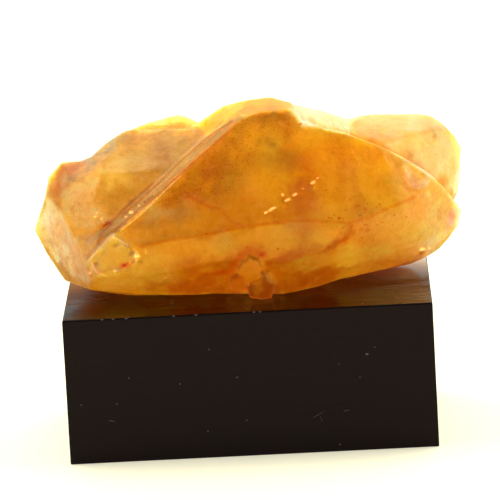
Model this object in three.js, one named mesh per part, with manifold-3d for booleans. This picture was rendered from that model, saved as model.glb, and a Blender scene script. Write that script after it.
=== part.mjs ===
// A cabinet specimen of amber calcite on a black display block.
//
// Two physical pieces: the crystal group, which grew as one stone and is one
// solid, and the rectangular block that it rests on. Millimetres, +X right,
// +Y away from the viewer, +Z up. The origin is the centre of the block's
// underside.
//
// The stone is drawn from its flat crystal faces. The main body is one closed
// shell of named corners and the faces between them. Smaller crystals behind
// and below it are convex lumps, which are joined to it. Thin ledges, steps,
// pits and chips are then added or cut along its faces and edges.

import * as THREE from "three";
import { ConvexGeometry } from "three/addons/geometries/ConvexGeometry.js";
import { mergeVertices } from "three/addons/utils/BufferGeometryUtils.js";
import Module from "manifold-3d";

const wasm = await Module();
wasm.setup();

// ---------------------------------------------------------------- sizes

const BLOCK_WIDTH = 60;
const BLOCK_DEPTH = 40;
const BLOCK_HEIGHT = 24;
const BLOCK_EASED_EDGE = 0.25;
const RESTING_GAP = 0.3;
const STONE_FOOT_Z = BLOCK_HEIGHT + RESTING_GAP;

const LEDGE_HEIGHT = 0.32;
const LEDGE_ROOT = 0.9;
const LEDGE_TAPER = [0.15, 1, 1, 0.6];
const TERRACE_LIFT = 0.9;
const TERRACE_SINK = 0.5;
const TERRACE_ROOT = 2;
const CHIP_SPACING = 1.7;
const CHIP_SHARE = 0.6;
const CLEAVAGE_SHEAR = 0.27;
const CLEAVAGE_TURN = -0.5;
const SEED = 41;

// ---------------------------------------------------------------- corners

// Corners of the main body: x, y and the height above the stone's foot.
const CORNERS = {
  // The sharp front ridge, from the apex down to the left.
  ridge: [
    [0.8, -4.5, 28.9],
    [-9.9, -8.5, 20.5],
    [-15.0, -10.8, 16.1],
    [-21.2, -12.6, 12.3],
    [-24.0, -11.5, 9.4],
    [-25.7, -10.1, 7.3],
  ],
  // The top edge of the big front face, from the apex to the right-hand tip.
  crest: [
    [3.9, -4.1, 29.6],
    [8.7, -4.0, 29.7],
    [10.5, -5.4, 27.4],
    [17.3, -5.2, 25.6],
    [23.0, -4.2, 22.8],
    [26.7, -2.6, 20.5],
    [30.9, -2.2, 17.5],
    [34.1, 2.3, 13.1],
    [36.2, 5.6, 9.7],
  ],
  // The lowest edge that shows in front, from the right-hand tip to the left.
  foot: [
    [35.5, 5.0, 7.2],
    [33.9, 4.9, 5.2],
    [32.2, 5.4, 3.3],
    [29.8, 3.9, 2.3],
    [23.6, 0.3, 1.4],
    [16.1, -4.0, 1.0],
    [11.1, -6.8, 0.2],
    [6.1, -9.2, 0.0],
    [-0.4, -9.3, 0.7],
    [-7.8, -9.0, 0.5],
    [-15.9, -9.5, 1.0],
    [-25.8, -7.8, 2.0],
    [-30.1, -3.3, 2.8],
  ],
  // The outer edge of the left-hand crystal, up from its lower corner.
  rim: [
    [-32.6, -0.6, 6.2],
    [-34.9, 1.9, 10.5],
    [-32.7, -0.9, 16.4],
    [-32.0, 1.4, 19.6],
    [-29.9, 2.4, 21.6],
    [-26.6, 4.8, 21.2],
    [-24.8, 5.1, 21.9],
    [-21.7, 7.8, 24.0],
    [-19.0, 10.8, 24.9],
    [-13.4, 11.0, 24.7],
    [-7.8, 10.5, 24.7],
    [-8.9, 7.7, 23.6],
    [-5.7, 8.7, 24.4],
    [-2.5, 2.6, 27.1],
  ],
  // The hollow between the left-hand crystal and the ridge.
  recess: [
    [-14.3, 8.2, 23.4],
    [-15.1, 1.3, 19.9],
    [-19.2, -0.2, 19.9],
  ],
  // The bottom of that hollow, where the flank of the ridge meets it.
  valley: [
    [-11.8, 2.1, 19.9],
    [-18.5, -3.5, 15.3],
    [-22.9, -7.8, 12.4],
  ],
  // Edges between the faces of the left-hand crystal.
  fold: [
    [-23.4, -1.3, 20.2],
    [-23.6, -4.5, 16.3],
    [-28.0, -0.3, 19.4],
    [-29.9, -3.7, 14.4],
    [-25.9, -8.7, 10.0],
    [-28.2, -6.6, 10.9],
    [-28.9, -5.1, 6.1],
  ],
  // The crease below the big front face.
  crease: [
    [-16.9, -13.9, 10.0],
    [-11.2, -14.1, 10.9],
    [-2.2, -14.5, 11.9],
    [3.1, -14.4, 12.6],
    [16.5, -12.6, 12.0],
    [25.6, -8.0, 13.4],
    [29.1, -4.1, 14.8],
  ],
  // A slight edge down the big front face, under the apex.
  bulge: [[0.5, -9.4, 20.7]],
  // The second crease, where the front turns under.
  belly: [
    [-24.7, -10.0, 4.6],
    [-15.6, -12.8, 5.0],
    [-6.5, -13.5, 6.7],
    [-0.8, -13.6, 7.3],
    [7.3, -13.3, 6.1],
    [13.1, -12.5, 7.7],
    [22.9, -5.7, 6.3],
    [29.5, -1.4, 6.2],
  ],
  // The thin bright rim behind the apex.
  top: [
    [8.6, 5.3, 29.1],
    [5.2, 9.0, 29.6],
    [1.0, 8.5, 29.3],
    [-2.9, 8.0, 28.6],
    [-6.7, 11.2, 25.7],
  ],
  // Mid-height corners of the back, from the left to the right.
  back: [
    [-31.0, 8.0, 10.0],
    [-25.0, 14.0, 18.0],
    [-15.0, 17.0, 21.0],
    [-5.0, 15.0, 23.0],
    [7.0, 14.0, 23.0],
    [15.5, 9.0, 22.5],
    [27.0, 8.0, 16.5],
    [33.0, 10.0, 6.0],
  ],
  // The flat broken base that rests on the block.
  base: [
    [-24, 2, 0],
    [-20, -4, 0],
    [-8, -6, 0],
    [7, -6, 0],
    [19, 3, 0],
    [27, 9, 0],
    [18, 14, 0],
    [0, 15, 0],
    [-17, 13, 0],
    [-25, 9, 0],
  ],
};

// Faces of the main body, each as its corners in turn, seen from outside.
const FACES = {
  bigFrontFace: [
    "ridge0 ridge1 ridge2 ridge3 crease0 crease1 crease2 bulge0",
    "ridge0 bulge0 crease2 crease3 crest2 crest1 crest0",
    "crest2 crease3 crease4 crest3",
    "crest3 crease4 crease5 crest4",
    "crest4 crease5 crease6 crest5",
    "crest5 crease6 crest6",
    "crest6 crease6 belly7 foot0 crest8 crest7",
    "crease6 crease5 belly7",
  ],
  lowerFrontFaces: [
    "belly0 belly1 crease0 ridge3 ridge4 ridge5",
    "belly1 crease1 crease0",
    "belly1 belly2 crease2 crease1",
    "belly2 belly3 belly4 crease3 crease2",
    "belly4 belly5 crease4 crease3",
    "belly5 belly6 crease5 crease4",
    "belly6 belly7 crease5",
  ],
  undercutFront: [
    "foot11 foot10 belly1 belly0",
    "foot10 foot9 belly2 belly1",
    "foot9 foot8 belly3 belly2",
    "foot8 foot7 belly4 belly3",
    "foot7 foot6 belly5 belly4",
    "foot6 foot5 foot4 belly6 belly5",
    "foot4 foot3 belly7 belly6",
    "foot3 foot2 foot1 foot0 belly7",
  ],
  flankOfRidge: [
    "ridge0 rim13 rim12 valley0 ridge1",
    "ridge1 valley0 valley1 ridge2",
    "ridge2 valley1 valley2 ridge3",
    "fold4 ridge4 ridge3 valley2",
    "ridge5 ridge4 fold4",
  ],
  leftCrystal: [
    "fold5 fold6 foot12 foot11 belly0 ridge5 fold4",
    "rim0 foot12 fold6 fold5 fold3 rim2 rim1",
    "fold2 fold3 fold5 fold4 valley2 fold1 fold0",
    "fold2 fold0 rim7 rim6 rim5",
    "fold2 rim5 rim4",
    "rim2 fold3 fold2 rim4 rim3",
    "valley0 rim12 rim11 recess0 recess1",
    "valley1 valley0 recess1 recess2 fold0 fold1 valley2",
    "recess2 recess1 recess0 rim8 rim7 fold0",
    "recess0 rim11 rim12 rim10 rim9 rim8",
  ],
  rimBehindApex: [
    "top4 rim10 rim12",
    "rim13 top3 top4 rim12",
    "ridge0 top2 top3 rim13",
    "crest0 top1 top2 ridge0",
    "crest1 top0 top1 crest0",
  ],
  upperBack: [
    "rim2 back0 rim1",
    "rim3 back0 rim2",
    "rim4 back1 back0 rim3",
    "rim5 back1 rim4",
    "rim6 back1 rim5",
    "rim7 back1 rim6",
    "rim8 back2 back1 rim7",
    "rim9 back2 rim8",
    "rim10 back2 rim9",
    "top4 back3 back2 rim10",
    "top3 back3 top4",
    "top2 back3 top3",
    "top1 back4 back3 top2",
    "top0 back4 top1",
    "back5 back4 top0",
    "crest1 back5 top0",
    "crest2 back5 crest1",
    "crest3 back5 crest2",
    "crest4 back6 back5 crest3",
    "crest5 back6 crest4",
    "crest6 back6 crest5",
    "crest7 back7 back6 crest6",
    "crest8 back7 crest7",
  ],
  lowerBack: [
    "back0 base9 rim1",
    "back1 base8 base9 back0",
    "back2 base8 back1",
    "back3 base7 base8 back2",
    "back4 base7 back3",
    "back5 base6 base7 back4",
    "back6 base6 back5",
    "back7 base5 base6 back6",
  ],
  underside: [
    "base9 rim0 rim1",
    "base9 base0 foot12 rim0",
    "base0 base1 foot11 foot12",
    "base1 foot10 foot11",
    "base1 base2 foot9 foot10",
    "base2 foot8 foot9",
    "base2 base3 foot7 foot8",
    "base3 foot6 foot7",
    "base3 base4 foot5 foot6",
    "base4 foot4 foot5",
    "base4 base5 foot3 foot4",
    "base5 foot2 foot3",
    "base5 foot1 foot2",
    "base5 foot0 foot1",
    "base5 back7 crest8 foot0",
    "base9 base8 base7 base6 base5 base4 base3 base2 base1 base0",
  ],
};

// Smaller crystals grown with the body, each the convex lump of its corners.
const LUMPS = {
  // The big rounded crystal behind the right-hand end.
  rearRight: [
    [17.4, 10.0, 25.0],
    [21.8, 13.5, 25.0],
    [29.1, 14.5, 24.5],
    [31.6, 14.0, 24.2],
    [33.2, 12.5, 23.4],
    [34.4, 11.0, 22.2],
    [35.6, 11.5, 20.9],
    [36.6, 12.0, 18.8],
    [35.7, 12.0, 16.2],
    [35.7, 11.0, 11.8],
    [33.1, 10.0, 22.8],
    [28.9, 7.5, 22.8],
    [26.3, 6.0, 22.2],
    [23.8, 5.5, 21.8],
    [19.7, 6.0, 22.4],
    [22.0, 0.5, 17.0],
    [30.0, 2.5, 13.0],
    [34.5, 6.5, 11.5],
    [14.0, 16.0, 19.0],
    [20.0, 19.0, 21.0],
    [29.5, 19.0, 20.0],
    [34.5, 17.0, 15.0],
    [31.5, 16.5, 5.0],
    [15.0, 17.0, 4.0],
    [31.0, 12.0, 2.0],
  ],
  // The thin pale slab between the crest and that crystal.
  paleSlab: [
    [8.0, 7.0, 28.8],
    [10.0, 9.0, 27.8],
    [12.0, 10.0, 26.9],
    [14.3, 10.5, 26.3],
    [17.9, 10.0, 24.9],
    [18.1, 4.0, 24.1],
    [10.5, 0.0, 26.4],
    [8.7, 1.0, 28.3],
    [8.0, 14.0, 23.0],
    [18.0, 14.0, 21.0],
    [10.0, 2.0, 19.0],
    [17.0, 3.0, 19.0],
  ],
  // The low yellow point behind the left-hand crystal.
  rearLeft: [
    [-18.8, 12.0, 24.5],
    [-15.2, 15.0, 25.4],
    [-11.8, 16.0, 25.8],
    [-9.9, 15.5, 26.3],
    [-8.1, 14.5, 25.2],
    [-6.3, 14.0, 24.8],
    [-15.2, 11.0, 23.5],
    [-7.7, 11.0, 23.1],
    [-19.0, 17.5, 18.0],
    [-9.0, 19.0, 20.0],
    [-4.5, 17.5, 19.0],
    [-19.5, 15.0, 8.0],
    [-6.0, 17.0, 7.0],
  ],
  // A stubby crystal low in the middle of the back.
  rearLow: [
    [-3.0, 14.0, 1.0],
    [8.0, 14.0, 1.0],
    [13.0, 16.0, 7.5],
    [9.0, 18.6, 13.0],
    [-1.0, 19.2, 14.0],
    [-6.0, 17.5, 9.0],
    [1.0, 13.0, 19.0],
    [10.0, 13.0, 18.0],
  ],
  // The yellow chipped knob at the lower left end of the ridge.
  chippedKnob: [
    [-25.6, -11.0, 7.6],
    [-24.2, -12.4, 9.7],
    [-21.2, -13.5, 12.5],
    [-18.5, -14.7, 10.2],
    [-17.3, -14.9, 8.7],
    [-17.7, -14.6, 7.5],
    [-20.4, -13.6, 5.9],
    [-24.6, -11.8, 5.3],
    [-21.0, -8.0, 9.0],
  ],
  // Three small crystals under the middle of the front.
  smallSixSided: [
    [-1.4, -14.3, 5.3],
    [-0.3, -15.0, 7.0],
    [0.8, -15.3, 7.5],
    [2.1, -15.3, 7.1],
    [2.7, -15.0, 5.7],
    [1.9, -14.5, 3.7],
    [0.6, -14.0, 2.9],
    [-0.7, -14.1, 4.0],
    [-1.2, -9.0, 5.0],
    [2.0, -9.0, 6.0],
    [0.8, -9.0, 3.5],
  ],
  smallPink: [
    [0.0, -12.0, 1.6],
    [0.4, -12.5, 0.3],
    [2.4, -13.0, 0.0],
    [4.0, -12.5, 0.1],
    [4.6, -13.2, 2.4],
    [3.6, -14.1, 4.7],
    [2.6, -14.2, 4.4],
    [1.6, -13.8, 3.0],
    [1.0, -7.0, 0.0],
    [4.0, -7.0, 0.0],
    [2.5, -8.0, 4.0],
  ],
  smallLeft: [
    [-2.6, -12.8, 3.8],
    [-1.0, -13.6, 4.3],
    [0.1, -13.4, 3.0],
    [-0.3, -12.5, 1.5],
    [-2.4, -11.7, 1.6],
    [-2.0, -8.0, 3.0],
    [0.0, -8.0, 2.0],
  ],
};

// ---------------------------------------------------------------- solids

function toSolid(geometry) {
  geometry.deleteAttribute("normal");
  geometry.deleteAttribute("uv");
  const merged = mergeVertices(geometry, 1e-4);
  const mesh = new wasm.Mesh({
    numProp: 3,
    vertProperties: new Float32Array(merged.attributes.position.array),
    triVerts: new Uint32Array(merged.index.array),
  });
  return new wasm.Manifold(mesh);
}

function toGeometry(solid) {
  const mesh = solid.getMesh();
  const geometry = new THREE.BufferGeometry();
  const positions = new THREE.BufferAttribute(new Float32Array(mesh.vertProperties), 3);
  geometry.setAttribute("position", positions);
  geometry.setIndex(new THREE.BufferAttribute(new Uint32Array(mesh.triVerts), 1));
  return geometry;
}

function lump(corners) {
  return toSolid(new ConvexGeometry(corners));
}

// The one big closed surface, without crumbs or buried bubbles left by cuts.
function outerShell(solid) {
  const shells = solid.decompose();
  return shells.reduce((best, shell) => (shell.volume() > best.volume() ? shell : best));
}

function aboveBlock([x, y, height]) {
  return new THREE.Vector3(x, y, height + STONE_FOOT_Z);
}

// A seeded random number from 0 to 1, so that every run gives the same stone.
function makeRandom(seed) {
  let state = seed;
  return () => {
    state = (state * 16807) % 2147483647;
    return state / 2147483647;
  };
}

const random = makeRandom(SEED);

function between(low, high) {
  return low + (high - low) * random();
}

// ---------------------------------------------------------------- main body

const cornerAt = {};
for (const [group, list] of Object.entries(CORNERS)) {
  list.forEach((corner, index) => {
    cornerAt[group + index] = aboveBlock(corner);
  });
}

// The normal of a polygon that may be slightly out of plane.
function polygonNormal(points) {
  const normal = new THREE.Vector3();
  points.forEach((point, index) => {
    const next = points[(index + 1) % points.length];
    normal.add(new THREE.Vector3().crossVectors(point, next));
  });
  return normal.normalize();
}

// Splits a polygon into triangles in its own plane.
function triangulate(points) {
  const normal = polygonNormal(points);
  const across = new THREE.Vector3().subVectors(points[1], points[0]);
  across.addScaledVector(normal, -across.dot(normal)).normalize();
  const along = new THREE.Vector3().crossVectors(normal, across);
  const flat = points.map((point) => new THREE.Vector2(point.dot(across), point.dot(along)));
  return THREE.ShapeUtils.triangulateShape(flat, []);
}

function makeBody() {
  const positions = [];
  for (const face of Object.values(FACES).flat()) {
    const points = face.split(" ").map((name) => cornerAt[name]);
    for (const triangle of triangulate(points)) {
      triangle.forEach((index) => positions.push(...points[index].toArray()));
    }
  }
  const geometry = new THREE.BufferGeometry();
  geometry.setAttribute("position", new THREE.Float32BufferAttribute(positions, 3));
  return toSolid(geometry);
}

// ---------------------------------------------------------------- relief

// Where a ray that enters the stone from one side first meets it.
function surfacePoint(target, from, direction) {
  const start = from.clone().addScaledVector(direction, -100);
  const ray = new THREE.Raycaster(start, direction);
  const [hit] = ray.intersectObject(target);
  return hit ? { point: hit.point, normal: hit.face.normal.clone() } : null;
}

const TOWARDS_BACK = new THREE.Vector3(0, 1, 0);
const TOWARDS_FRONT = new THREE.Vector3(0, -1, 0);

// Fine sawtooth ledges along the flank of the ridge, parallel to the ridge.
function flankLedges() {
  const outer = ["ridge0", "ridge1", "ridge2", "ridge3"].map((name) => cornerAt[name]);
  const inner = ["rim13", "valley0", "valley1", "valley2"].map((name) => cornerAt[name]);
  const strips = [
    [0.06, 0.17],
    [0.24, 0.35],
    [0.41, 0.53],
    [0.6, 0.7],
    [0.78, 0.92],
  ];
  const ledges = [];
  for (const [near, far] of strips) {
    for (let segment = 0; segment < outer.length - 1; segment += 1) {
      const ends = [segment, segment + 1].map((index) => [
        outer[index].clone().lerp(inner[index], near),
        outer[index].clone().lerp(inner[index], far),
      ]);
      const along = new THREE.Vector3().subVectors(ends[1][0], ends[0][0]);
      const across = new THREE.Vector3().subVectors(ends[0][1], ends[0][0]);
      const normal = new THREE.Vector3().crossVectors(across, along).normalize();
      const points = [];
      ends.forEach(([nearPoint, farPoint], end) => {
        const height = LEDGE_HEIGHT * LEDGE_TAPER[segment + end];
        points.push(nearPoint.clone().addScaledVector(normal, height));
        points.push(nearPoint.clone().addScaledVector(normal, -LEDGE_ROOT));
        points.push(farPoint.clone().addScaledVector(normal, -LEDGE_ROOT));
        points.push(farPoint.clone().addScaledVector(normal, -height / 2));
      });
      ledges.push(lump(points));
    }
  }
  return ledges;
}

// A cleavage layer on one face. It is a rhombus that tilts out of the face, so
// that it ends in a step on one side and runs out to nothing on the other.
function terrace(target, centre, direction, width, height, lean) {
  const hit = surfacePoint(target, aboveBlock(centre), direction);
  const side = new THREE.Vector3(0, 0, 1).cross(hit.normal).normalize();
  const up = new THREE.Vector3().crossVectors(hit.normal, side);
  const outline = [
    [-width / 2 - lean, -height / 2, TERRACE_LIFT],
    [width / 2 - lean, -height / 2, TERRACE_LIFT * 0.4],
    [width / 2 + lean, height / 2, -TERRACE_SINK],
    [-width / 2 + lean, height / 2, 0],
  ];
  const points = [];
  for (const [u, v, lift] of outline) {
    const point = hit.point.clone().addScaledVector(side, u).addScaledVector(up, v);
    points.push(point.clone().addScaledVector(hit.normal, lift));
    points.push(point.addScaledVector(hit.normal, -TERRACE_ROOT));
  }
  return lump(points);
}

// A cutter for a chip or a pit. Calcite breaks along three sets of parallel
// planes, so it is a small slanted block, turned almost the same way each time.
function chipCutter(centre, size) {
  const width = size * between(1.3, 2.1);
  const depth = size * between(0.9, 1.3);
  const height = size * between(0.8, 1.3);
  const geometry = new THREE.BoxGeometry(width, depth, height);
  geometry.applyMatrix4(new THREE.Matrix4().makeShear(0, 0, CLEAVAGE_SHEAR, 0, 0, CLEAVAGE_SHEAR));
  geometry.rotateX(between(0.3, 0.7));
  geometry.rotateY(CLEAVAGE_TURN + between(-0.15, 0.15));
  geometry.rotateZ(between(-0.2, 0.2));
  geometry.translate(centre.x, centre.y, centre.z);
  return toSolid(geometry);
}

// Chips broken out of a sharp edge, at uneven steps along it.
function edgeChips(names, smallest, largest) {
  const cutters = [];
  for (let index = 0; index < names.length - 1; index += 1) {
    const start = cornerAt[names[index]];
    const end = cornerAt[names[index + 1]];
    const count = Math.round(start.distanceTo(end) / CHIP_SPACING);
    for (let step = 0; step < count; step += 1) {
      const centre = start.clone().lerp(end, (step + random()) / count);
      const size = between(smallest, largest);
      centre.z += size * 0.45;
      centre.y -= size * 0.2;
      if (random() < CHIP_SHARE) cutters.push(chipCutter(centre, size));
    }
  }
  return cutters;
}

// Small broken pits that open towards the front: x, height and size.
const PITS = {
  rowAcrossFront: [
    [11.6, 18.0, 0.75],
    [9.8, 17.1, 0.45],
    [8.3, 16.5, 0.65],
    [6.5, 16.5, 0.6],
    [7.1, 15.6, 0.55],
    [4.8, 14.6, 0.6],
    [3.8, 14.2, 0.55],
  ],
  footOfFlank: [
    [-22.9, 12.4, 0.8],
    [-18.6, 14.6, 0.5],
    [-17.2, 15.4, 0.6],
    [-15.6, 16.9, 0.5],
    [-14.0, 18.2, 0.5],
  ],
  chippedKnob: [
    [-24.6, 7.6, 1.0],
    [-23.2, 9.3, 0.9],
    [-21.0, 10.8, 1.1],
    [-18.4, 9.4, 1.0],
    [-17.3, 7.6, 0.9],
    [-19.4, 6.3, 1.0],
    [-22.4, 6.0, 0.9],
    [-15.8, 9.3, 0.6],
  ],
  rightEnd: [
    [28.8, 3.2, 0.9],
    [31.6, 6.8, 0.7],
  ],
};

function brokenPits(target) {
  return Object.values(PITS).flat().map(([x, height, size]) => {
    const hit = surfacePoint(target, aboveBlock([x, 0, height]), TOWARDS_BACK);
    return chipCutter(hit.point, size);
  });
}

// The round scallop broken out of the crest near the right-hand end.
function crestScallop(target) {
  const radius = 4.4;
  const depth = 0.6;
  const hit = surfacePoint(target, aboveBlock([28.1, 0, 17.6]), TOWARDS_BACK);
  const geometry = new THREE.IcosahedronGeometry(radius, 4);
  geometry.scale(0.95, 1, 1.15);
  const centre = hit.point.addScaledVector(hit.normal, radius - depth);
  geometry.translate(centre.x, centre.y, centre.z);
  return toSolid(geometry);
}

function makeStone() {
  const body = makeBody();
  const grown = [body, ...Object.values(LUMPS).map((corners) => lump(corners.map(aboveBlock)))];
  const joined = wasm.Manifold.union(grown);
  const target = new THREE.Mesh(toGeometry(joined));

  const layers = [
    ...flankLedges(),
    terrace(target, [-8, 0, 12], TOWARDS_FRONT, 11, 7, 1.5),
    terrace(target, [-22, 0, 10], TOWARDS_FRONT, 8, 6, 1),
    terrace(target, [5, 0, 9], TOWARDS_FRONT, 7, 5, 1),
    terrace(target, [25, 0, 12], TOWARDS_FRONT, 9, 8, 1.5),
    terrace(target, [29, 0, 15], TOWARDS_FRONT, 5, 9, 1),
    terrace(target, [14, 0, 20], TOWARDS_FRONT, 5, 4, 1),
    terrace(target, [-15, 0, 17], TOWARDS_FRONT, 6, 3, 1),
  ];

  const cuts = [
    ...edgeChips(["ridge0", "ridge1", "ridge2", "ridge3", "ridge4", "ridge5"], 0.35, 0.7),
    ...edgeChips(["crest0", "crest1", "crest2", "crest3", "crest4", "crest5"], 0.35, 0.8),
    ...edgeChips(["crest5", "crest6", "crest7", "crest8"], 0.4, 0.9),
    ...edgeChips(["rim2", "rim3", "rim4", "rim5", "rim6", "rim7", "rim8"], 0.4, 0.9),
    ...edgeChips(["top0", "top1", "top2", "top3", "top4"], 0.4, 0.8),
    ...brokenPits(target),
    crestScallop(target),
  ];

  const detailed = wasm.Manifold.union([joined, ...layers]);
  return outerShell(detailed.subtract(wasm.Manifold.union(cuts)));
}

// ---------------------------------------------------------------- block

// A plain rectangular block with lightly eased edges.
function makeBlock() {
  const halfWidth = BLOCK_WIDTH / 2 - BLOCK_EASED_EDGE;
  const halfDepth = BLOCK_DEPTH / 2 - BLOCK_EASED_EDGE;
  const outline = new THREE.Shape([
    new THREE.Vector2(-halfWidth, -halfDepth),
    new THREE.Vector2(halfWidth, -halfDepth),
    new THREE.Vector2(halfWidth, halfDepth),
    new THREE.Vector2(-halfWidth, halfDepth),
  ]);
  const geometry = new THREE.ExtrudeGeometry(outline, {
    depth: BLOCK_HEIGHT - 2 * BLOCK_EASED_EDGE,
    bevelSize: BLOCK_EASED_EDGE,
    bevelThickness: BLOCK_EASED_EDGE,
    bevelSegments: 2,
  });
  geometry.translate(0, 0, BLOCK_EASED_EDGE);
  return geometry;
}

// ---------------------------------------------------------------- scene graph

const calciteLook = new THREE.MeshStandardMaterial({
  color: "#c8791a",
  roughness: 0.3,
  metalness: 0,
});
const blockLook = new THREE.MeshStandardMaterial({
  color: "#1d1715",
  roughness: 0.45,
  metalness: 0,
});

const calcite = new THREE.Mesh(toGeometry(makeStone()), calciteLook);
calcite.name = "calcite";

const displayBlock = new THREE.Mesh(makeBlock(), blockLook);
displayBlock.name = "display_block";

const group = new THREE.Group();
group.add(calcite, displayBlock);

export default group;
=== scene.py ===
# %% [markdown]
# # An amber calcite on its black display block
#
# The object is a mineral specimen. A group of calcite crystals, honey-coloured
# and cloudy inside, rests on a plain black block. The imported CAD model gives
# the true shapes and places. This lesson gives them their looks: a chipped stone
# that lets light through, a black block with a polished top, and a pale studio
# with its camera.

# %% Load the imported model
import math

import bpy
import bmesh
import numpy as np
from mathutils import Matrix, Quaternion, Vector, noise
from mathutils.bvhtree import BVHTree


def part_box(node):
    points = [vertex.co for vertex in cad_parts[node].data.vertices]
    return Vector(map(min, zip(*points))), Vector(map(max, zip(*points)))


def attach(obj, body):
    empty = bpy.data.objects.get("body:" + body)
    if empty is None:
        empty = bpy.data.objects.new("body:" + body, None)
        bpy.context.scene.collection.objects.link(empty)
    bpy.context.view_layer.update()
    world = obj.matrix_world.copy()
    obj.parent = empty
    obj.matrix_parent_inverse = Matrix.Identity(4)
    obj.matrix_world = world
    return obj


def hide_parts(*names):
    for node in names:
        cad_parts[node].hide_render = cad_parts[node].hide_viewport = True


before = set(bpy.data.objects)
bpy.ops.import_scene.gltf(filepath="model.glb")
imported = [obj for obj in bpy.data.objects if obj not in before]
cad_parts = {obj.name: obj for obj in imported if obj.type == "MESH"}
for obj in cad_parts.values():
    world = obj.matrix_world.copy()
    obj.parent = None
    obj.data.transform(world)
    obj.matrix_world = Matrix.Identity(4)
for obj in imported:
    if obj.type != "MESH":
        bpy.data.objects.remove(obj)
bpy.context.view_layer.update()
scene = bpy.context.scene
MM = 0.001
print("nodes:", sorted(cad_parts))

# %% [markdown]
# ## Two small helpers
#
# Colours are chosen as sRGB hex values, as in any paint program, but shaders
# work in linear light. One function turns the first into the second. The other
# adds one node to any node tree, and each of its sockets gets a plain value or
# a link from another node.


# %% Helpers for colours and nodes
def linear(hex_colour):
    """An sRGB hex colour as a linear RGBA tuple."""
    channels = [int(hex_colour[i : i + 2], 16) / 255 for i in (1, 3, 5)]
    straight = [c / 12.92 if c <= 0.04045 else ((c + 0.055) / 1.055) ** 2.4 for c in channels]
    return (*straight, 1.0)


def add_node(tree, kind, sockets=None, **settings):
    """A new node of that kind. Each socket named gets a value, or a link from an output."""
    node = tree.nodes.new(kind)
    for name, value in settings.items():
        setattr(node, name, value)
    for socket, value in (sockets or {}).items():
        if isinstance(value, bpy.types.NodeSocket):
            tree.links.new(value, node.inputs[socket])
        else:
            node.inputs[socket].default_value = value
    return node


# %% [markdown]
# ## The camera
#
# A long lens about 0.85 m away looks slightly down on the specimen, as for a
# collector's catalogue. The camera leans over by about three degrees, so the block
# seems to tilt. The distance and the angles are real sizes, and the lens
# follows from how much of the 36 mm film the scene fills at that distance.

# %% Camera
CAMERA_TARGET = Vector((0.64, 0.0, 29.99)) * MM
CAMERA_DISTANCE = 854.7 * MM
CAMERA_AZIMUTH = math.radians(1.05)
CAMERA_HEIGHT_ANGLE = math.radians(11.8)
CAMERA_LEAN = math.radians(-3.1)
FILM_WIDTH_MM = 36.0
VIEW_WIDTH = 82.56 * MM

towards_camera = Vector((
    math.sin(CAMERA_AZIMUTH) * math.cos(CAMERA_HEIGHT_ANGLE),
    -math.cos(CAMERA_AZIMUTH) * math.cos(CAMERA_HEIGHT_ANGLE),
    math.sin(CAMERA_HEIGHT_ANGLE),
))
camera_data = bpy.data.cameras.new("CatalogueLens")
camera_data.sensor_width = FILM_WIDTH_MM
camera_data.lens = FILM_WIDTH_MM * CAMERA_DISTANCE / VIEW_WIDTH
camera_data.clip_end = 10.0
camera = bpy.data.objects.new("CatalogueCamera", camera_data)
camera.location = CAMERA_TARGET + towards_camera * CAMERA_DISTANCE
level = towards_camera.to_track_quat("Z", "Y")
camera.rotation_mode = "QUATERNION"
camera.rotation_quaternion = level @ Quaternion((0, 0, 1), CAMERA_LEAN)
scene.collection.objects.link(camera)
scene.camera = camera
print("lens:", round(camera_data.lens, 1), "mm")

# %% [markdown]
# ## The studio light
#
# The specimen stands before a bright white backdrop. Most of its light comes from
# behind and shines through the thin crystals, while the front stays dim. Large
# area lights could do this, but each would also show as a patch in the polished
# block. Here the world itself is the light: its strength rises from the dark side,
# in front, to the lit side, behind. The camera sees plain white. Rays that mirror
# off a surface meet a quarter of the light, as if the room around had dark walls,
# and rays that pass through the crystal keep half of it.

# %% World
DARK_SIDE, LIT_SIDE = -0.5, 0.2
DIM_LIGHT, STRONG_LIGHT, BACKDROP_LIGHT = 0.09, 3.0, 1.2
MIRRORED_SHARE, THROUGH_SHARE = 0.25, 0.5
world = bpy.data.worlds.new("StudioWorld")
scene.world = world
world.use_nodes = True
sky = world.node_tree
sky.nodes.clear()
direction = add_node(sky, "ShaderNodeTexCoord")
split = add_node(sky, "ShaderNodeSeparateXYZ", {"Vector": direction.outputs["Generated"]})
ramp = add_node(sky, "ShaderNodeMapRange", {
    "Value": split.outputs["Y"], "From Min": DARK_SIDE, "From Max": LIT_SIDE,
    "To Min": DIM_LIGHT, "To Max": STRONG_LIGHT}, interpolation_type="SMOOTHSTEP")
path = add_node(sky, "ShaderNodeLightPath")
through = add_node(sky, "ShaderNodeMapRange", {
    "Value": path.outputs["Is Transmission Ray"], "To Min": MIRRORED_SHARE, "To Max": THROUGH_SHARE})
mirrored = add_node(sky, "ShaderNodeMapRange", {
    "Value": path.outputs["Is Glossy Ray"], "To Min": 1.0, "To Max": through.outputs[0]})
strength = add_node(sky, "ShaderNodeMath", {
    0: ramp.outputs["Result"], 1: mirrored.outputs[0]}, operation="MULTIPLY")
lit = add_node(sky, "ShaderNodeBackground", {
    "Color": linear("#FFFFFF"), "Strength": strength.outputs[0]})
backdrop = add_node(sky, "ShaderNodeBackground", {
    "Color": linear("#FFFFFF"), "Strength": BACKDROP_LIGHT})
mix = add_node(sky, "ShaderNodeMixShader", {
    0: path.outputs["Is Camera Ray"], 1: lit.outputs[0], 2: backdrop.outputs[0]})
add_node(sky, "ShaderNodeOutputWorld", {"Surface": mix.outputs[0]})
scene.view_settings.view_transform = "Standard"
print("world nodes:", len(sky.nodes))

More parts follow.
